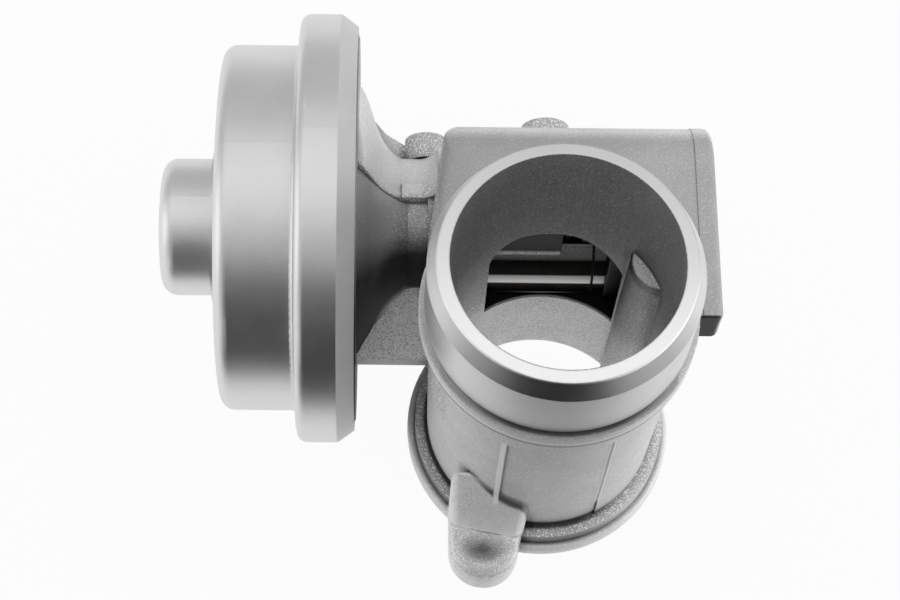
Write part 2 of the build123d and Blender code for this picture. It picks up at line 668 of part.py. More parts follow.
# =============================================================================================
# actuator shells, fixed to the housing
# =============================================================================================
def neck_swell():
    """Fuller part of the neck in front of and below the web, clear of the plate's slot."""
    left = WEB_LEFT_R - WEB_T - NECK_GAP
    right = SLOT_NECK_R - NECK_GAP
    points = [
        (WEB_LEFT_X, left),
        (WEB_FLARE_X, WEB_FLARE_R - NECK_GAP),
        (WEB_NECK_X, WEB_NECK_R - NECK_GAP),
        (SLOT_NECK_X, right),
    ]
    curve = Spline(*[(x, AXIS_Y, AXIS_Z + r) for x, r in points])
    rest = Polyline(
        curve @ 1,
        (BODY_LEFT_X, AXIS_Y, AXIS_Z + right),
        (BODY_LEFT_X, AXIS_Y, AXIS_Z),
        (WEB_LEFT_X, AXIS_Y, AXIS_Z),
        curve @ 0,
    )
    full = revolve(make_face(Wire([curve.edge(), *rest.edges()])), VALVE_AXIS)
    y_low = AXIS_Y - NECK_GAP
    z_low = AXIS_Z - GUSSET_T - NECK_GAP
    return full - block(WEB_LEFT_X, BODY_LEFT_X, y_low, AXIS_Y + left, z_low, AXIS_Z + left)


def actuator_base():
    """Flared neck with a pilot in the valve bore and a flange that the cover is rolled over."""
    outer = WEB_T + NECK_GAP
    inner = outer + NECK_WALL
    bell = revolve(under_trumpet(outer, BODY_LEFT_X), VALVE_AXIS) + neck_swell()
    bell += ring(BODY_LEFT_X, GUIDE_LEFT_X, TURNED_R)
    bell -= revolve(under_trumpet(inner, GUIDE_LEFT_X), VALVE_AXIS)
    mouth_r = WEB_LEFT_R - inner
    rim_r = RIM_INNER_R - SOFT_GAP
    slope_x = crimp_x(rim_r, COVER_T + SOFT_GAP)
    rim_right_x = CRIMP_FACE_X - COVER_T - SLIDE_FIT
    profile = [
        (BEAD_RIGHT_X, rim_r - BASE_LIP_W),
        (BEAD_RIGHT_X, rim_r),
        (slope_x, rim_r),
        (rim_right_x, crimp_r(rim_right_x, COVER_T + SOFT_GAP)),
        (rim_right_x, CRIMP_MOUTH_R - BASE_FACE_GAP),
        (WEB_LEFT_X, CRIMP_MOUTH_R - BASE_FACE_GAP),
        (WEB_LEFT_X, mouth_r),
        (BASE_LEFT_X, mouth_r),
        (BASE_LEFT_X, rim_r - BASE_LIP_W),
    ]
    base = bell + turned(profile)
    for y, z in on_circle(VENT_PCD_R, VENTS, -90):
        base -= rightward(BASE_LEFT_X, WEB_LEFT_X, y, z, VENT_R)
    return base


def heat_shield():
    """Disc in the mouth of the neck that keeps exhaust heat off the rubber."""
    mouth_r = WEB_LEFT_R - WEB_T - NECK_GAP - NECK_WALL
    return ring(BASE_LEFT_X - SHIELD_T, BASE_LEFT_X, mouth_r + SHIELD_LAP, SHIELD_HOLE_R)


def cover_outline():
    """Outside of the cover from the middle of the cap to the rolled edge, as (X, radius)."""
    return [
        (CAP_LEFT_X, 0),
        (CAP_LEFT_X, CAP_R),
        (CAP_FOOT_X, CAP_R),
        (CAP_FOOT_X, CAP_FOOT_R),
        (DRUM_LEFT_X, CAP_FOOT_R),
        (DRUM_LEFT_X, DRUM_R),
        (RIM_LEFT_X, DRUM_R),
        (RIM_LEFT_X, RIM_R),
        (RIM_CHAMFER_X, RIM_R),
        (CRIMP_FACE_X, CRIMP_EDGE_R),
        (CRIMP_FACE_X, 0),
    ]


def round_edge(shape, x, r, size):
    """Fillet the circular edge of one radius at one place along the axis."""
    centre = Vector(x, AXIS_Y, AXIS_Z)
    circles = shape.edges().filter_by(GeomType.CIRCLE)
    edge = [e for e in circles if abs(e.radius - r) < SAME_SIZE and (e.arc_center - centre).length < SAME_SIZE]
    return fillet(edge, size)


def crimp_r(x, inset):
    """Radius of the rolled edge's slope at one X, set in by a thickness."""
    slope = (CRIMP_EDGE_R - RIM_R) / (CRIMP_FACE_X - RIM_CHAMFER_X)
    return RIM_R + slope * (x - RIM_CHAMFER_X) - inset * (1 + slope ** 2) ** 0.5


def crimp_x(r, inset):
    """X where the rolled edge's slope reaches one radius."""
    slope = (CRIMP_EDGE_R - RIM_R) / (CRIMP_FACE_X - RIM_CHAMFER_X)
    return RIM_CHAMFER_X + (r - RIM_R + inset * (1 + slope ** 2) ** 0.5) / slope


def cover_hollow():
    """Inside of the cover, from the cap's floor to the mouth of the rolled edge."""
    crimp_floor_x = CRIMP_FACE_X - COVER_T
    return turned([
        (CAP_FLOOR_X, 0),
        (CAP_FLOOR_X, CAP_R - COVER_T),
        (DRUM_FLOOR_X, CAP_R - COVER_T),
        (DRUM_FLOOR_X, DRUM_R - COVER_T),
        (RIM_FLOOR_X, DRUM_R - COVER_T),
        (RIM_FLOOR_X, RIM_INNER_R),
        (crimp_x(RIM_INNER_R, COVER_T), RIM_INNER_R),
        (crimp_floor_x, crimp_r(crimp_floor_x, COVER_T)),
        (crimp_floor_x, CRIMP_MOUTH_R),
        (CRIMP_FACE_X, CRIMP_MOUTH_R),
        (CRIMP_FACE_X, 0),
    ])


def actuator_cover():
    """Deep-drawn can: cap, drum and a rim rolled over the base's flange."""
    body = turned(cover_outline())
    body = round_edge(body, CAP_LEFT_X, CAP_R, CAP_EDGE_R)
    body = round_edge(body, DRUM_LEFT_X, DRUM_R, DRUM_EDGE_R)
    body = round_edge(body, RIM_LEFT_X, RIM_R, RIM_SHOULDER_R)
    body = round_edge(body, RIM_LEFT_X, DRUM_R, RIM_ROOT_R)
    return body - cover_hollow() - nipple_hole()


def vacuum_nipple():
    """Push-on nipple in the drum's wall, turned down and away from the tube."""
    shoulder = DRUM_R + SOFT_GAP
    profile = [
        (NIPPLE_BORE_R, DRUM_R - COVER_T),
        (NIPPLE_R, DRUM_R - COVER_T),
        (NIPPLE_R, shoulder),
        (NIPPLE_FOOT_R, shoulder),
        (NIPPLE_FOOT_R, shoulder + NIPPLE_FOOT_T),
        (NIPPLE_R, shoulder + NIPPLE_FOOT_T),
        (NIPPLE_R, NIPPLE_REACH_R - NIPPLE_CHAMFER),
        (NIPPLE_R - NIPPLE_CHAMFER, NIPPLE_REACH_R),
        (NIPPLE_BORE_R, NIPPLE_REACH_R),
    ]
    face = make_face(Polyline(*[(r, 0, z) for r, z in profile], close=True))
    return nipple_place() * revolve(face, Axis.Z)


def nipple_place():
    """Frame on the valve axis whose +Z is the nipple's direction."""
    return Location((NIPPLE_X, AXIS_Y, AXIS_Z), (-90 - NIPPLE_DOWN_DEG, 0, 0))


def nipple_hole():
    """Hole in the drum for the nipple's stem."""
    align = (Align.CENTER, Align.CENTER, Align.MIN)
    return nipple_place() * Cylinder(NIPPLE_R + SLIDE_FIT, DRUM_R + COVER_T, align=align)


write(actuator_base(), "actuator_base")
write(heat_shield(), "heat_shield")
write(actuator_cover(), "actuator_cover")
write(vacuum_nipple(), "vacuum_nipple")


# =============================================================================================
# diaphragm, spring and stop
# =============================================================================================
def fold_points(x_left, x_base, inner, outer):
    """Five points of the fold: up its inner wall, over the crown and down its outer wall."""
    z_low = AXIS_Z + inner
    z_high = AXIS_Z + outer
    shoulder_x = x_left + (outer - inner) / 2
    return [
        (x_base, AXIS_Y, z_low),
        (shoulder_x, AXIS_Y, z_low),
        (x_left, AXIS_Y, (z_low + z_high) / 2),
        (shoulder_x, AXIS_Y, z_high),
        (x_base, AXIS_Y, z_high),
    ]


def diaphragm():
    """Rubber disc: clamped bead, rolled fold and a flat centre between the two plates."""
    top = RUBBER_LEFT_X - ROLL_HEIGHT
    outside = fold_points(top, RUBBER_LEFT_X, ROLL_INNER_R, ROLL_OUTER_R)
    inner = ROLL_INNER_R + RUBBER_T
    inside = fold_points(top + RUBBER_T, RUBBER_RIGHT_X, inner, ROLL_OUTER_R - RUBBER_T)
    lines = [
        *Polyline((RUBBER_LEFT_X, AXIS_Y, AXIS_Z + STEM_R), outside[0], outside[1]).edges(),
        ThreePointArc(outside[1], outside[2], outside[3]).edge(),
        *Polyline(
            outside[3],
            outside[4],
            (RUBBER_LEFT_X, AXIS_Y, AXIS_Z + BEAD_INNER_R),
            (RIM_FLOOR_X, AXIS_Y, AXIS_Z + BEAD_INNER_R),
            (RIM_FLOOR_X, AXIS_Y, AXIS_Z + BEAD_OUTER_R),
            (BEAD_RIGHT_X, AXIS_Y, AXIS_Z + BEAD_OUTER_R),
            (BEAD_RIGHT_X, AXIS_Y, AXIS_Z + BEAD_INNER_R),
            (RUBBER_RIGHT_X, AXIS_Y, AXIS_Z + BEAD_INNER_R),
            inside[4],
            inside[3],
        ).edges(),
        ThreePointArc(inside[3], inside[2], inside[1]).edge(),
        *Polyline(
            inside[1],
            inside[0],
            (RUBBER_RIGHT_X, AXIS_Y, AXIS_Z + STEM_R),
            (RUBBER_LEFT_X, AXIS_Y, AXIS_Z + STEM_R),
        ).edges(),
    ]
    return revolve(make_face(Wire(lines)), VALVE_AXIS)


def piston_plate():
    """Steel dish on the vacuum side that takes the spring."""
    plate = ring(PISTON_LEFT_X, PISTON_RIGHT_X, PISTON_PLATE_R, STEM_R + SLIDE_FIT)
    rim_left = PISTON_RIGHT_X - PISTON_RIM_H
    return plate + ring(rim_left, PISTON_LEFT_X, PISTON_PLATE_R, PISTON_PLATE_R - PLATE_T)


def valve_stem():
    """Steel stem with the collar that the plates are tightened against."""
    stud_left = PISTON_LEFT_X - NUT_T - STUD_PROUD
    stem = ring(stud_left, SEAT_X, STEM_R)
    return stem + ring(BACKING_RIGHT_X, BACKING_RIGHT_X + STEM_COLLAR_T, STEM_COLLAR_R)


def poppet_disc():
    """Valve head that closes on the seat's left face."""
    left = SEAT_X - POPPET_T
    poppet = ring(left, SEAT_X, POPPET_R) + ring(left - POPPET_HUB_LEN, left, POPPET_HUB_R)
    return poppet - ring(left - POPPET_HUB_LEN, SEAT_X, STEM_R)


def stem_nut():
    """Hexagon nut on the stem's threaded end."""
    left = PISTON_LEFT_X - NUT_T
    hexagon = RegularPolygon(NUT_AF / 2, 6, major_radius=False)
    body = Location((left, AXIS_Y, AXIS_Z), (0, 90, 0)) * extrude(hexagon, NUT_T)
    return body - ring(left, PISTON_LEFT_X, STEM_R)


def return_spring():
    """Compression spring between the cap and the piston plate, with its end coils' ends flush."""
    length = PISTON_LEFT_X - SPRING_LEFT_X - 2 * WIRE_R - 2 * SPRING_CLEAR
    pitch = length / SPRING_COILS
    path = Helix(pitch, length, SPRING_R)
    wire = sweep(Plane(path @ 0, z_dir=path % 0) * Circle(WIRE_R), path, is_frenet=True)
    x = SPRING_LEFT_X + WIRE_R + SPRING_CLEAR
    return Location((x, AXIS_Y, AXIS_Z), (0, 90, 0)) * wire


write(diaphragm(), "diaphragm")
write(piston_plate(), "piston_plate")
write(ring(RUBBER_RIGHT_X, BACKING_RIGHT_X, BACKING_R, STEM_R + SLIDE_FIT), "backing_plate")
write(valve_stem(), "valve_stem")
write(poppet_disc(), "poppet_disc")
write(stem_nut(), "stem_nut")
write(return_spring(), "return_spring")
write(ring(CAP_FLOOR_X, SPRING_LEFT_X, SPRING_SEAT_R, SPRING_SEAT_HOLE_R), "spring_seat")
write(ring(DRUM_FLOOR_X, STOP_RIGHT_X, PISTON_PLATE_R, PISTON_PLATE_R - STOP_W), "stop_bumper")
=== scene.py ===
import math

import bmesh
import bpy
from mathutils import Matrix, Vector


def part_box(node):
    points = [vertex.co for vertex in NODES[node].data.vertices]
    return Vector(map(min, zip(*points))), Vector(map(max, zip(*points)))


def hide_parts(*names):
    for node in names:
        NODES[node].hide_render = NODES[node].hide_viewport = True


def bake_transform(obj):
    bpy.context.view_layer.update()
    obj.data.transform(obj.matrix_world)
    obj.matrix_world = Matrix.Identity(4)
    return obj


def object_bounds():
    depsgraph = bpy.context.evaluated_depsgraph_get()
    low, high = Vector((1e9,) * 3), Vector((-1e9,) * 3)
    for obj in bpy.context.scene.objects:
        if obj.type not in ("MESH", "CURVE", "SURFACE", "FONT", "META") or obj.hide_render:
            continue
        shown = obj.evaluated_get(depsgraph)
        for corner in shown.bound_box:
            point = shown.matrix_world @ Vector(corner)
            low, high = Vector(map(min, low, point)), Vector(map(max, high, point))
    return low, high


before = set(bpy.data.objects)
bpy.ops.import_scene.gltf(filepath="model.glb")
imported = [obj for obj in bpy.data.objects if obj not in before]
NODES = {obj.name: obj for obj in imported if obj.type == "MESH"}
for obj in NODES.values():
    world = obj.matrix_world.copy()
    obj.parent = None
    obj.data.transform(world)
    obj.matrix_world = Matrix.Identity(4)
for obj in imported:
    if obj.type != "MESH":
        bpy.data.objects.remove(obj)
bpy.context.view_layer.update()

# ---- valve housing ------------------------------------------------------------------------------
# One aluminium die casting, shot-blasted all over, with the hose spigot turned bright. Masks say where
# its skin is coarse, and where painted light and painted shade make it lighter or darker. Places are in
# metres, and the bore's axis is the z axis.


def feed(tree, slot, item):
    """Links an input to a value or socket, or sets it to a plain number or colour."""
    if isinstance(item, Value):
        item = item.socket
    if isinstance(item, bpy.types.NodeSocket):
        tree.links.new(item, slot)
    else:
        slot.default_value = item


class Value:
    """A shader socket that can be used in sums and products."""

    def __init__(self, tree, socket):
        self.tree = tree
        self.socket = socket

    def maths(self, operation, *items, clamp=False):
        """A Math node fed by these items, in order."""
        node = self.tree.nodes.new("ShaderNodeMath")
        node.operation = operation
        node.use_clamp = clamp
        for slot, item in zip(node.inputs, items):
            feed(self.tree, slot, item)
        return Value(self.tree, node.outputs[0])

    def __add__(self, other):
        return self.maths("ADD", self, other)

    def __radd__(self, other):
        return self.maths("ADD", other, self)

    def __sub__(self, other):
        return self.maths("SUBTRACT", self, other)

    def __rsub__(self, other):
        return self.maths("SUBTRACT", other, self)

    def __mul__(self, other):
        return self.maths("MULTIPLY", self, other)

    def __truediv__(self, other):
        return self.maths("DIVIDE", self, other)

    def root(self):
        """Its square root."""
        return self.maths("SQRT", self)

    def clip(self):
        """Itself, held between 0 and 1."""
        return self.maths("ADD", self, 0.0, clamp=True)

    def most(self, other):
        """Itself or the other, whichever is larger."""
        return self.maths("MAXIMUM", self, other)

    def step_up(self, at, width):
        """0 below a value and 1 above it, with a soft edge of one width."""
        return ((self - (at - width / 2)) / width).clip()

    def step_down(self, at, width):
        """1 below a value and 0 above it, with a soft edge of one width."""
        return 1 - self.step_up(at, width)

    def band(self, low, high, width):
        """1 between two values and 0 outside them."""
        return self.step_up(low, width) * self.step_down(high, width)


class Finish:
    """A procedural material that reads the piece's own coordinates, in metres."""

    COLOUR_MIX_INPUTS = (0, 6, 7)
    COLOUR_MIX_OUTPUT = 2

    def __init__(self, name, metallic, roughness):
        self.material = bpy.data.materials.new(name)
        self.material.use_nodes = True
        self.tree = self.material.node_tree
        self.shader = self.tree.nodes["Principled BSDF"]
        self.set("Metallic", metallic)
        self.set("Roughness", roughness)
        self.place = self.node("ShaderNodeTexCoord").outputs["Object"]
        split = self.node("ShaderNodeSeparateXYZ", Vector=self.place)
        self.x = Value(self.tree, split.outputs["X"])
        self.y = Value(self.tree, split.outputs["Y"])
        self.z = Value(self.tree, split.outputs["Z"])

    def set(self, name, item):
        """Sets or drives one input of the material."""
        feed(self.tree, self.shader.inputs[name], item)

    def node(self, kind, settings=None, **inputs):
        """A node of one kind, with its settings and inputs."""
        node = self.tree.nodes.new(kind)
        for key, item in (settings or {}).items():
            setattr(node, key, item)
        for key, item in inputs.items():
            feed(self.tree, node.inputs[key], item)
        return node

    def noise(self, size, detail=2.0, roughness=0.5, stretch=None):
        """Noise from 0 to 1 with one feature size in metres, longer where stretch is under 1."""
        place = self.place
        if stretch:
            place = self.node("ShaderNodeMapping", Vector=place, Scale=stretch).outputs["Vector"]
        noise = self.node("ShaderNodeTexNoise", Vector=place, Scale=1 / size, Detail=detail,
            Roughness=roughness)
        return Value(self.tree, noise.outputs["Fac"])

    def cells(self, size):
        """Distance to the nearest of scattered points, in cells."""
        cells = self.node("ShaderNodeTexVoronoi", Vector=self.place, Scale=1 / size)
        return Value(self.tree, cells.outputs["Distance"])

    def distance(self, **centre):
        """Distance from a line along the axis that is left out."""
        gaps = [getattr(self, axis) - place for axis, place in centre.items()]
        return (gaps[0] * gaps[0] + gaps[1] * gaps[1]).root()

    def crevice(self, reach):
        """How deep a point lies in a corner, 0 on open surfaces and 1 deep in it, for shade painted into
        corners.
        """
        node = self.node("ShaderNodeAmbientOcclusion", {"samples": 6, "only_local": True}, Distance=reach)
        return 1 - Value(self.tree, node.outputs["AO"])

    def mixed(self, factor, first, second):
        """One colour turning into another."""
        mix = self.node("ShaderNodeMix", {"data_type": "RGBA"})
        for index, item in zip(self.COLOUR_MIX_INPUTS, (factor, first, second)):
            feed(self.tree, mix.inputs[index], item)
        return mix.outputs[self.COLOUR_MIX_OUTPUT]

    def relief(self, height, depth, edge=0.0):
        """Bump of one depth in metres, over edges rounded in the shading."""
        bump = self.node("ShaderNodeBump", Height=height, Distance=depth, Strength=1.0)
        if edge:
            rounded = self.node("ShaderNodeBevel", {"samples": 6}, Radius=edge)
            feed(self.tree, bump.inputs["Normal"], rounded.outputs[0])
        self.set("Normal", bump.outputs[0])


def grey(level, warmth=0.0):
    """A neutral colour, a little warmer or cooler."""
    return (level * (1 + warmth), level, level * (1 - warmth), 1.0)


def dress(finish, *names):
    """Gives CAD nodes their finish."""
    for name in names:
        mesh = NODES[name].data
        mesh.materials.clear()
        mesh.materials.append(finish.material)


CAST_METALLIC = 0.25
CAST_RELIEF = 0.00016


def cast_finish(name, level):
    """Shot-blasted casting: a fine grain that sparkles where the blasting was coarse."""
    cast = Finish(name, metallic=CAST_METALLIC, roughness=0.5)
    cast.grain = cast.noise(0.00028, 2.0, 0.7)
    cast.dimples = cast.cells(0.0006)
    cast.patches = cast.noise(0.009, 4.0, 0.6)
    cast.speck = cast.noise(0.00035, 1.0).step_up(0.62, 0.16)
    cast.pits = cast.noise(0.00022, 1.0).step_up(0.52, 0.3)
    cast.level = level
    return cast


def apply_cast(cast, coarse, tint):
    """Colour, roughness and height of a casting, from 0 for smooth skin to 1 for coarse skin. Tint holds
    the painted light and shade that scale its colour.
    """
    tone = 0.90 + cast.patches * 0.28 + (cast.speck * 1.2 - cast.pits * 0.55) * (coarse * 0.75 + 0.25)
    colour = cast.mixed(tone * tint * 0.5, grey(0.0), grey(2 * cast.level))
    height = (cast.grain + cast.dimples * 0.5) * (coarse * 0.85 + 0.15)
    return colour, 0.46 + cast.grain * 0.14 - cast.speck * coarse * 0.15, height


def total(*shares):
    """Adds masks up, each times its strength."""
    added = 0.0
    for mask, strength in shares:
        added = mask * strength + added
    return added


BORE_R = 0.0231
WALL_R = 0.0262
FRONT_Y = -0.018
WEB_RIGHT_X = -0.0243
LUG_X = -0.0126
LUG_Y = -0.0280
LUG_R = 0.0115
RAMP_FOOT_Z = 0.0098
BOSS_X = 0.0228
BOSS_Y = 0.0143
SPIGOT_FOOT_Z = 0.0712
CHAMFER_FOOT_Z = 0.0894
LIP_Z = 0.0937

cast = cast_finish("shot_blasted_aluminium", 0.76)
reach = cast.distance(x=0.0, y=0.0)
in_bore = reach.step_down(BORE_R, 0.0002)
at_front = cast.y.step_down(FRONT_Y, 0.001)
left_half = cast.x.step_down(WEB_RIGHT_X, 0.0004)

# Coarse skins: side plate, flange top, the round bosses at the back, and the left web and its pad.
plate_skin = left_half * cast.z.band(0.0287, 0.0295, 0.0003) * cast.y.step_down(0.036, 0.001)
flange_skin = cast.z.band(0.0076, 0.0083, 0.0003)
left_boss = cast.distance(x=-0.0263, z=0.0330).step_down(0.0072, 0.0004)
top_boss = cast.distance(x=0.0004, z=0.0400).step_down(0.0078, 0.0004)
boss_skin = cast.y.step_up(0.0518, 0.0006) * left_boss.most(top_boss)
wall_skin = cast.x.band(-0.0275, -0.0222, 0.001) * cast.z.band(0.040, 0.0605, 0.001)
wall_skin = wall_skin * cast.y.step_down(0.040, 0.004)
pad_skin = left_half * cast.y.band(0.030, 0.0384, 0.0004)
web_skin = left_half * cast.z.step_up(0.0400, 0.003)

# Front lug: painted light on its ramp, its foot, the fold along the ramp's foot and the fold's line, and
# painted shade in the crease above it and in the dimple in it.
ramp = cast.z.step_up(RAMP_FOOT_Z, 0.0003)
on_lug = cast.distance(x=LUG_X, y=LUG_Y).step_down(LUG_R, 0.001)
on_lug = on_lug * reach.step_up(WALL_R, 0.0006) * cast.x.band(-0.0206, -0.0018, 0.0004)
on_lug = on_lug * cast.z.step_down(0.0300, 0.001)
on_lug = on_lug * (1 - cast.x.step_up(-0.0048, 0.0006) * cast.z.step_down(0.0092, 0.0008))
lug_foot = on_lug * cast.z.step_down(0.0089, 0.0006)
lug_fold = on_lug * cast.z.step_down(0.0140, 0.009) * ramp
from_fold = cast.y + 0.0276 + (cast.x - LUG_X) * 0.183
lug_line = on_lug * from_fold.band(-0.0003, 0.0003, 0.0003) * cast.z.band(0.0085, 0.0110, 0.001)
above_lug = cast.z - 0.0188 + cast.x * 0.42
lug_crease = above_lug.step_down(0.0012, 0.0030) * above_lug.step_up(-0.0060, 0.001)
lug_crease = lug_crease * reach.band(0.0245, WALL_R, 0.0003) * cast.x.band(-0.0165, -0.0040, 0.002)
lug_crease = lug_crease * cast.y.step_down(-0.016, 0.001)
dimple_x = (cast.x + 0.0129) * 0.72
dimple_y = cast.y + 0.0311
dimple = (dimple_x * dimple_x + dimple_y * dimple_y).root().step_down(0.0024, 0.0034)
dimple = dimple * cast.z.band(0.0070, 0.0100, 0.0004)

# Pocket behind the bore, which no light reaches, and its edge, which some does.
pocket = reach.step_up(0.0235, 0.0003) * cast.y.step_up(0.015, 0.001) * cast.z.band(0.0247, 0.0585, 0.0003)
inside_box = pocket * cast.x.band(-0.0135, 0.018, 0.0005) * cast.y.step_down(0.0462, 0.0004)
pocket_edge = cast.y.band(0.0266, 0.0274, 0.0004) * cast.z.step_down(0.0403, 0.0014)

# Boss beside the bore, with painted light on its top and painted shade on its rim and on the bore wall
# beside it. Painted shade in the bore, darker towards its top, and painted light at the bore's foot.
from_boss = cast.distance(x=BOSS_X, y=BOSS_Y)
on_boss = from_boss.step_down(0.0073, 0.0004) * cast.z.step_down(0.0640, 0.0006)
boss_top = on_boss * from_boss.step_down(0.0066, 0.0006) * cast.z.step_up(0.0632, 0.0004)
boss_rim = on_boss * cast.z.step_up(0.0606, 0.0016) * (1 - boss_top)
boss_shade = from_boss.step_down(0.0081, 0.0002) * reach.step_down(0.0228, 0.0002)
boss_shade = boss_shade * cast.x.step_down(0.0172, 0.0034) * (1 - boss_top)
bore_shade = in_bore * cast.z.step_up(0.0425, 0.035) * (1 - inside_box) * (1 - on_boss * 0.6)
low_bore = in_bore * cast.z.step_down(0.0300, 0.010)

# Ledge under the spigot, with a painted shade line below its side and painted light on the side. Painted
# shade along the foot of the wall and on the flange's collar, fading on the lit side, and painted light on
# the flange's rim.
ledge = reach.step_up(0.0274, 0.0004)
ledge_line = ledge * cast.z.band(0.0668, 0.0678, 0.0003)
ledge_side = ledge * cast.z.band(0.0679, 0.0692, 0.0004)
foot_line = reach.band(0.0240, WALL_R, 0.0006) * cast.z.band(0.0070, 0.0093, 0.0010)
collar_side = reach.band(0.0278, 0.0284, 0.0002) * cast.z.band(0.0038, 0.0076, 0.0006)
flange_rim = reach.step_up(0.0285, 0.0004) * cast.z.step_down(0.0041, 0.0004)

# Box on the right, with painted shade on its low front face and on its top, a painted highlight on the flat
# panel's edge and along the flash line on the front wall, and painted light on the side near the right
# lamp.
box_shade = cast.x.step_up(0.0300, 0.001) * cast.y.step_down(0.0026, 0.0006)
box_top = cast.z.band(0.0600, 0.0650, 0.002) * reach.step_up(0.0290, 0.0004)
seam = cast.x.band(0.0235, 0.0290, 0.0006) * cast.z.step_up(0.050, 0.004)
panel_edge = cast.x.band(0.0114, 0.0124, 0.0003) * at_front * cast.z.band(0.0160, 0.0560, 0.001)
flash_highlight = cast.x.band(-0.0112, -0.0101, 0.0003) * at_front * cast.z.band(0.0200, 0.0560, 0.002)
lit_side = cast.x.step_up(0.0140, 0.012)
far_side = 1 - lit_side * 0.8

coarse = on_lug * 0.35
for skin in (in_bore * 0.5, plate_skin, flange_skin, boss_skin, wall_skin, pad_skin, pocket_edge):
    coarse = coarse.most(skin)
# Painted shade: darker in the bore towards its top, on the box's low front face and top, in the lug's
# dimple and crease, around the boss, along the ledge, the wall's foot and the flange's collar, and in
# corners.
dark = total(
    (bore_shade, 0.70),
    (box_shade, 1.1),
    (box_top, 0.40),
    (dimple, 1.05),
    (boss_rim, 0.3),
    (boss_shade, 0.5),
    (ledge_line, 0.5),
    (lug_crease * (1 - flash_highlight), 0.85),
    (collar_side * far_side, 0.6),
    (foot_line * far_side, 0.55),
    (cast.crevice(0.003) * (1 - on_lug) * (1 - seam) * (1 - panel_edge), 1.1),
)
# Painted light: lighter on the side plate, the lug, the web's top, the flash line, the panel's edge, the
# flange's rim, the boss's top, the ledge's side, the bore's foot and the side near the right lamp.
light = total(
    (plate_skin, 0.42),
    (on_lug * ramp, 0.34),
    (lug_foot, 0.3),
    (lug_fold, 0.2),
    (lug_line, 0.15),
    (web_skin, 0.12),
    (flash_highlight, 0.45),
    (panel_edge, 0.5),
    (flange_rim, 0.2),
    (boss_top, 0.8),
    (ledge_side, 0.2),
    (low_bore, 0.25),
    (lit_side, 0.08),
    (lit_side * flange_skin, 0.35),
)
# The pocket is painted near black for the shade in it, less so at its edge; tint carries all this painted
# light and shade.
unlit = inside_box * (1 - pocket_edge * 0.8) * 0.96
tint = ((1 - unlit) * (1 + light - dark)).most(0.02)
cast_colour, cast_rough, cast_height = apply_cast(cast, coarse, tint)

# Turned spigot: fine rings, painted shade in the groove at its foot and on the chamfer's front, and a
# painted highlight on its lip, brightest at the front.
turned = cast.z.step_up(SPIGOT_FOOT_Z, 0.0004) * reach.band(0.0232, 0.0278, 0.0003)
rings = cast.noise(0.0008, 2.0, 0.6, stretch=(0.02, 0.02, 1.0))
cloudy = cast.noise(0.006, 4.0, 0.6)
groove_shade = cast.z.step_down(0.0730, 0.0006) * cast.x.band(-0.0150, 0.0165, 0.010)
shaded_chamfer = cast.z.band(CHAMFER_FOOT_Z, 0.0938, 0.0003) * cast.y.step_down(-0.0140, 0.010)
lip = cast.z.step_up(LIP_Z, 0.0003)
lip_highlight = lip * cast.y.step_down(-0.008, 0.02)
turned_colour = cast.mixed((rings * 0.4 + cloudy * 0.6 + lip * 0.6).clip(), grey(0.60), grey(0.84))
turned_colour = cast.mixed(groove_shade, turned_colour, grey(0.05))
turned_colour = cast.mixed(shaded_chamfer * 0.8, turned_colour, grey(0.36))
turned_colour = cast.mixed(lip_highlight, turned_colour, grey(0.96))
cast.set("Base Color", cast.mixed(turned, cast_colour, turned_colour))
cast.set("Roughness", cast_rough * (1 - turned) + (0.34 + rings * 0.08 + cloudy * 0.10) * turned)
cast.set("Metallic", CAST_METALLIC + turned.most(inside_box) * (1 - CAST_METALLIC))
cast.relief(cast_height * (1 - turned) + rings * turned * 0.06, CAST_RELIEF, edge=0.0005)
dress(cast, "valve_housing")

# ---- actuator base -------------------------------------------------------------------------------
# Flared aluminium neck, cast and blasted like the housing but duller, pressed into the valve bore. Painted
# light makes its crown lighter, its flange's edge is lighter, and painted shade darkens its corners and the
# side that faces down and forward.

STEM_Y = 0.0376
STEM_Z = 0.0289
neck = cast_finish("cast_neck", 0.44)
neck.set("Metallic", 0.7)
barrel = neck.x.step_up(-0.0335, 0.003) * neck.z.step_up(0.0370, 0.008)
flange_edge = neck.x.step_down(-0.0452, 0.0006)
# Painted light on the crown, and painted shade on the side that faces down and forward and in the corners.
crown = neck.z.step_up(0.0425, 0.004) * neck.x.step_up(-0.0360, 0.006)
upward_share = (neck.z - STEM_Z) / neck.distance(y=STEM_Y, z=STEM_Z)
underside_shade = upward_share.step_down(0.76, 0.20) * neck.x.step_up(-0.0455, 0.004)
underside_shade = underside_shade * neck.y.step_down(0.0340, 0.006)
corners = neck.crevice(0.003) * (1 - flange_edge)
neck_tint = (1 + crown * 0.7 - underside_shade * 0.8 + flange_edge * 0.5 - corners * 0.6).most(0.05)
neck_colour, neck_rough, neck_height = apply_cast(neck, barrel * 0.6, neck_tint)
neck.set("Base Color", neck_colour)
neck.set("Roughness", neck_rough)
neck.relief(neck_height, CAST_RELIEF, edge=0.0004)
dress(neck, "actuator_base")

# ---- actuator cover ------------------------------------------------------------------------------
# Deep-drawn steel can with satin zinc plating, its rim rolled over the base's flange. The rolled rim is
# rougher than the can.

ROLLED_RIM_X = -0.0456
plate = Finish("satin_zinc", metallic=1.0, roughness=0.36)
cloud = plate.noise(0.008, 4.0, 0.6)
mist = plate.noise(0.0004, 2.0, 0.6)
plate.set("Base Color", plate.mixed(cloud * 0.6 + mist * 0.4, grey(0.66), grey(0.84)))
rolled_rim = plate.x.step_up(ROLLED_RIM_X, 0.0004)
plate.set("Roughness", 0.35 + cloud * 0.06 + mist * 0.06 + rolled_rim * 0.25)
plate.relief(mist + cloud * 0.3, 0.00002)
dress(plate, "actuator_cover")
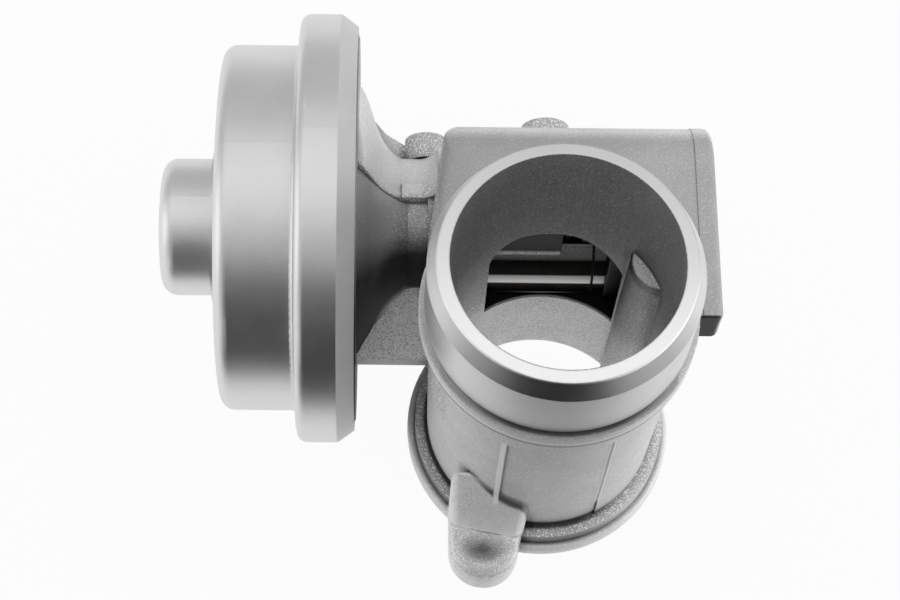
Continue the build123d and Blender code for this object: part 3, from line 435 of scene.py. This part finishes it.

# ---- sleeve, gasket and seat in the valve bore ---------------------------------------------------
# Ground steel, painted a warm near black for the shade in the bore, with painted reflections in bands along
# it and a painted highlight on its cut edge, and a dark graphite gasket between sleeve and seat.

sleeve = Finish("ground_steel", metallic=1.0, roughness=0.2)
heat = sleeve.noise(0.006, 3.0, 0.5)
lines = sleeve.noise(0.0004, 2.0, 0.6, stretch=(1.0, 0.05, 0.05))
# Painted reflections: two bands along the sleeve, a grainy band near its top and a highlight on its cut
# edge.
reflection_bands = sleeve.z.band(0.0314, 0.0339, 0.0004).most(sleeve.z.band(0.0259, 0.0268, 0.0004)) * 0.8
grainy_reflection = sleeve.z.band(0.0378, 0.0400, 0.0008) * (0.4 + sleeve.noise(0.0004, 1.0) * 1.2)
cut_edge_highlight = sleeve.z.step_up(0.0401, 0.0003) * sleeve.y.step_down(0.0305, 0.0006)
painted_glints = (reflection_bands + grainy_reflection + cut_edge_highlight * 1.2).clip()
painted_shine = (painted_glints * 0.9 + heat * 0.04).clip()
sleeve.set("Base Color", sleeve.mixed(painted_shine, grey(0.012, 0.10), grey(0.80, 0.01)))
sleeve.set("Metallic", 1 - cut_edge_highlight * 0.9)
sleeve.set("Specular Tint", grey(0.2))
sleeve.set("Roughness", 0.28 + lines * 0.12 - cut_edge_highlight * 0.16)
sleeve.relief(lines, 0.00001)
dress(sleeve, "gas_sleeve", "valve_seat")

graphite = Finish("graphite", metallic=0.1, roughness=0.8)
flake = graphite.noise(0.0005, 2.0)
graphite.set("Base Color", graphite.mixed(flake, grey(0.02), grey(0.06)))
graphite.relief(flake, 0.00003)
dress(graphite, "seat_gasket")

# ---- moving stem, poppet and plates --------------------------------------------------------------
# Bright steel stem and poppet disc. The pressings, nut, seal cup, shield and nipple are plated like the
# cover.

bright = Finish("bright_steel", metallic=1.0, roughness=0.25)
marks = bright.noise(0.0004, 2.0, 0.6, stretch=(1.0, 0.08, 0.08))
bright.set("Base Color", bright.mixed(marks, grey(0.45), grey(0.62)))
bright.set("Roughness", 0.2 + marks * 0.15)
dress(bright, "valve_stem", "poppet_disc")
dress(plate, "piston_plate", "backing_plate", "stem_nut")
dress(plate, "spring_seat", "seal_cup", "heat_shield", "vacuum_nipple")

# ---- return spring -------------------------------------------------------------------------------
# Coil spring between cap and piston plate.

WIRE_R = 0.0011
COILS = 5.5
STEPS_PER_COIL = 36
WIRE_SIDES = 16


def piece_from(bm, name):
    """Turns a finished bmesh into a named object in the scene."""
    mesh = bpy.data.meshes.new(name)
    bm.to_mesh(mesh)
    bm.free()
    piece = bpy.data.objects.new(name, mesh)
    bpy.context.scene.collection.objects.link(piece)
    return piece


low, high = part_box("return_spring")
coil_y = (low.y + high.y) / 2
coil_z = (low.z + high.z) / 2
coil_r = (high.y - low.y) / 2 - WIRE_R
steps = round(COILS * STEPS_PER_COIL)
advance = (high.x - low.x - 2 * WIRE_R) / steps
start = Matrix.Translation((low.x + WIRE_R, coil_y, coil_z + coil_r))
upright = Matrix.Rotation(math.radians(90), 4, "X")
bm = bmesh.new()
ring = bmesh.ops.create_circle(bm, segments=WIRE_SIDES, radius=WIRE_R, cap_ends=False,
    matrix=start @ upright)
bmesh.ops.spin(bm, geom=ring["verts"] + bm.edges[:], cent=(0, coil_y, coil_z), axis=(1, 0, 0),
    dvec=(advance, 0, 0), angle=math.radians(360 * COILS), steps=steps, use_duplicate=False)
bmesh.ops.holes_fill(bm, edges=[edge for edge in bm.edges if edge.is_boundary], sides=WIRE_SIDES)
bmesh.ops.recalc_face_normals(bm, faces=bm.faces)
for face in bm.faces:
    face.smooth = len(face.verts) == 4
spring = piece_from(bm, "spring")
spring.data.materials.append(bright.material)
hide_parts("return_spring")
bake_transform(spring)

# ---- bronze guide --------------------------------------------------------------------------------
# Turned bronze bush that guides the stem, pressed between sleeve and neck. Fine marks from the lathe run
# around it.

bronze = Finish("bronze", metallic=1.0, roughness=0.35)
swirl = bronze.noise(0.0008, 2.0, 0.6, stretch=(1.0, 0.1, 0.1))
bronze.set("Base Color", bronze.mixed(swirl, (0.36, 0.22, 0.10, 1.0), (0.50, 0.33, 0.16, 1.0)))
dress(bronze, "stem_guide")

# ---- rubber parts --------------------------------------------------------------------------------
# Moulded rubber with a faint bloom: the diaphragm held between base and cover, the seal around the stem
# and the stop that the piston plate meets at full lift.

rubber = Finish("black_rubber", metallic=0.0, roughness=0.7)
bloom = rubber.noise(0.003, 3.0)
rubber.set("Base Color", rubber.mixed(bloom, grey(0.015), grey(0.035)))
rubber.relief(rubber.noise(0.0003), 0.00002)
dress(rubber, "diaphragm", "stem_seal", "stop_bumper")

# ---- floor ---------------------------------------------------------------------------------------
# A white table. The camera and reflections see it almost pure white, and other light falls on it as on
# matt card.

FLOOR_GAP = 0.002
FLOOR_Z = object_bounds()[0].z - FLOOR_GAP
FLOOR_HALF = 3.0
GLOW_SHARE = 0.95
bm = bmesh.new()
bmesh.ops.create_grid(bm, x_segments=1, y_segments=1, size=FLOOR_HALF,
    matrix=Matrix.Translation((0, 0, FLOOR_Z)))
floor = piece_from(bm, "floor")
table_top = Finish("white_table", metallic=0.0, roughness=0.9)
table_top.set("Base Color", grey(0.8))
rays = table_top.node("ShaderNodeLightPath")
seen = Value(table_top.tree, rays.outputs["Is Camera Ray"])
for kind in ("Is Glossy Ray", "Is Transmission Ray"):
    seen = seen + Value(table_top.tree, rays.outputs[kind])
glow = table_top.node("ShaderNodeEmission", Color=(1, 1, 1, 1), Strength=1.0)
blend = table_top.node("ShaderNodeMixShader")
feed(table_top.tree, blend.inputs[0], seen.clip() * GLOW_SHARE)
feed(table_top.tree, blend.inputs[1], table_top.shader.outputs[0])
feed(table_top.tree, blend.inputs[2], glow.outputs[0])
feed(table_top.tree, table_top.tree.nodes["Material Output"].inputs[0], blend.outputs[0])
floor.data.materials.append(table_top.material)

# ---- black flag ----------------------------------------------------------------------------------
# A matt black card that lies on the table in front of the part and turns up behind the camera's foot.
# The camera doesn't see it, but the part's metal reflects it.

FLAG_NEAR_Y = -0.075
FLAG_FAR_Y = -0.25
FLAG_TOP_Z = 0.30
FLAG_LEFT_X = -0.18
FLAG_RIGHT_X = 0.12
FLAG_LOW_Z = FLOOR_Z + 0.001
flag_x = (FLAG_LEFT_X + FLAG_RIGHT_X) / 2
flag_half = (FLAG_RIGHT_X - FLAG_LEFT_X) / 2
lying_y = (FLAG_NEAR_Y + FLAG_FAR_Y) / 2
lying_half = (FLAG_NEAR_Y - FLAG_FAR_Y) / 2
raised_z = (FLAG_LOW_Z + FLAG_TOP_Z) / 2
raised_half = (FLAG_TOP_Z - FLAG_LOW_Z) / 2
lying = Matrix.Translation((flag_x, lying_y, FLAG_LOW_Z)) @ Matrix.Diagonal((flag_half, lying_half, 1, 1))
raised = Matrix.Translation((flag_x, FLAG_FAR_Y, raised_z)) @ upright
raised = raised @ Matrix.Diagonal((flag_half, raised_half, 1, 1))
bm = bmesh.new()
for matrix in (lying, raised):
    bmesh.ops.create_grid(bm, x_segments=1, y_segments=1, size=1.0, matrix=matrix)
flag = piece_from(bm, "flag")
flag.visible_camera = False
card = Finish("black_card", metallic=0.0, roughness=0.9)
card.set("Base Color", grey(0.02))
flag.data.materials.append(card.material)

# ---- lights --------------------------------------------------------------------------------------
# A wide softbox overhead and a smaller one on each side, in an even white room. The light is weak enough
# for a colour to show about as it is written.

MIDDLE = (-0.02, 0.03, 0.04)
ROOM_STRENGTH = 0.55


def softbox(name, place, aim, width, height, watts):
    """A rectangular lamp turned towards a point."""
    data = bpy.data.lights.new(name, "AREA")
    data.shape = "RECTANGLE"
    data.size = width
    data.size_y = height
    data.energy = watts
    lamp = bpy.data.objects.new(name, data)
    lamp.location = place
    lamp.rotation_mode = "QUATERNION"
    lamp.rotation_quaternion = (Vector(aim) - Vector(place)).to_track_quat("-Z", "Y")
    bpy.context.scene.collection.objects.link(lamp)


softbox("top_light", (-0.02, 0.13, 0.84), (-0.02, 0.13, 0.0), width=1.3, height=0.82, watts=1.5)
softbox("left_light", (-0.65, -0.05, 0.25), MIDDLE, width=0.5, height=0.45, watts=0.6)
softbox("right_light", (0.62, -0.10, 0.22), MIDDLE, width=0.5, height=0.45, watts=1.0)
world = bpy.data.worlds.new("studio")
bpy.context.scene.world = world
world.use_nodes = True
world.node_tree.nodes["Background"].inputs["Color"].default_value = (1, 1, 1, 1)
world.node_tree.nodes["Background"].inputs["Strength"].default_value = ROOM_STRENGTH

# ---- camera --------------------------------------------------------------------------------------
# Looks down at the part from above and in front. Its lens is given in pixels, and its centre is off the
# middle of the image.

IMAGE_W = 900
IMAGE_H = 600
FOCAL_PX = 2270.87
CENTRE_PX = (368.16, 256.6)
SENSOR = 36.0
CAMERA_PLACE = (-0.0365, -0.1854, 0.4938)
ELEVATION = math.radians(65.07)
AZIMUTH = math.radians(0.72)
camera_data = bpy.data.cameras.new("camera")
camera_data.sensor_width = SENSOR
camera_data.lens = FOCAL_PX * SENSOR / IMAGE_W
camera_data.shift_x = (IMAGE_W / 2 - CENTRE_PX[0]) / IMAGE_W
camera_data.shift_y = (CENTRE_PX[1] - IMAGE_H / 2) / IMAGE_W
camera = bpy.data.objects.new("camera", camera_data)
camera.location = CAMERA_PLACE
turn = Matrix.Rotation(AZIMUTH, 3, "Z")
ahead = turn @ Vector((0, math.cos(ELEVATION), -math.sin(ELEVATION)))
upward = turn @ Vector((0, math.sin(ELEVATION), math.cos(ELEVATION)))
side = ahead.cross(upward)
camera.rotation_mode = "QUATERNION"
camera.rotation_quaternion = Matrix((side, upward, -ahead)).transposed().to_quaternion()
bpy.context.scene.collection.objects.link(camera)
bpy.context.scene.camera = camera
bpy.context.scene.view_settings.view_transform = "Standard"
